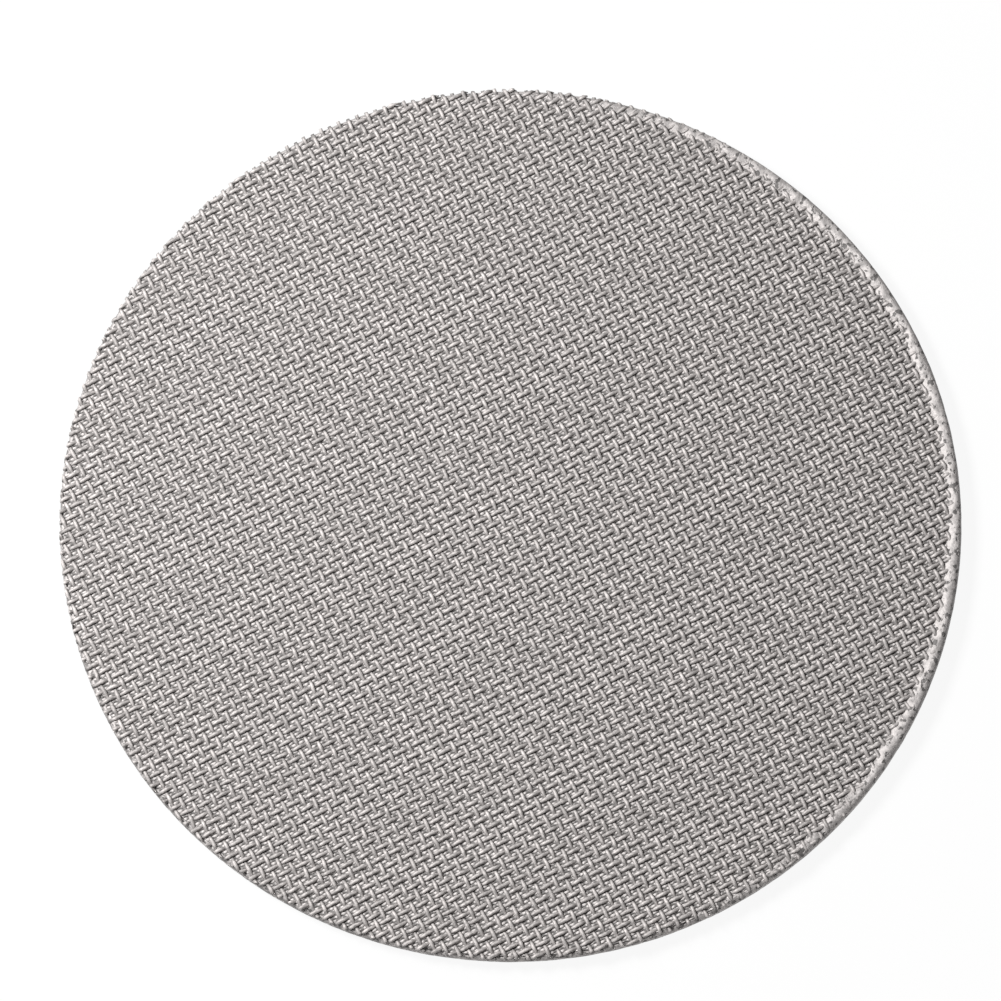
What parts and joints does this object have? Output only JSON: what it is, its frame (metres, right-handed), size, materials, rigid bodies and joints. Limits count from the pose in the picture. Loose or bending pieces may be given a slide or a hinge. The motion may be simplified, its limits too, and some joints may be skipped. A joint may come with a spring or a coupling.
{
  "type": "wire mesh filter disc",
  "caption": "Flat round filter disc of sintered stainless wire mesh with a sheared rim, laid in a filter basket to strain and spread the water.",
  "frame": {"origin": "centre of the lower face, at the level of its wire crests", "axes": "+Z is the disc's axis, up through the face; X and Y follow the two wire directions"},
  "size_m": [0.0584, 0.0584, 0.0017],
  "materials": {
    "sintered_steel": "satin bare stainless wire, bonded by sintering"
  },
  "bodies": {
    "root": {"mesh_disc": "sintered_steel"}
  },
  "joints": []
}
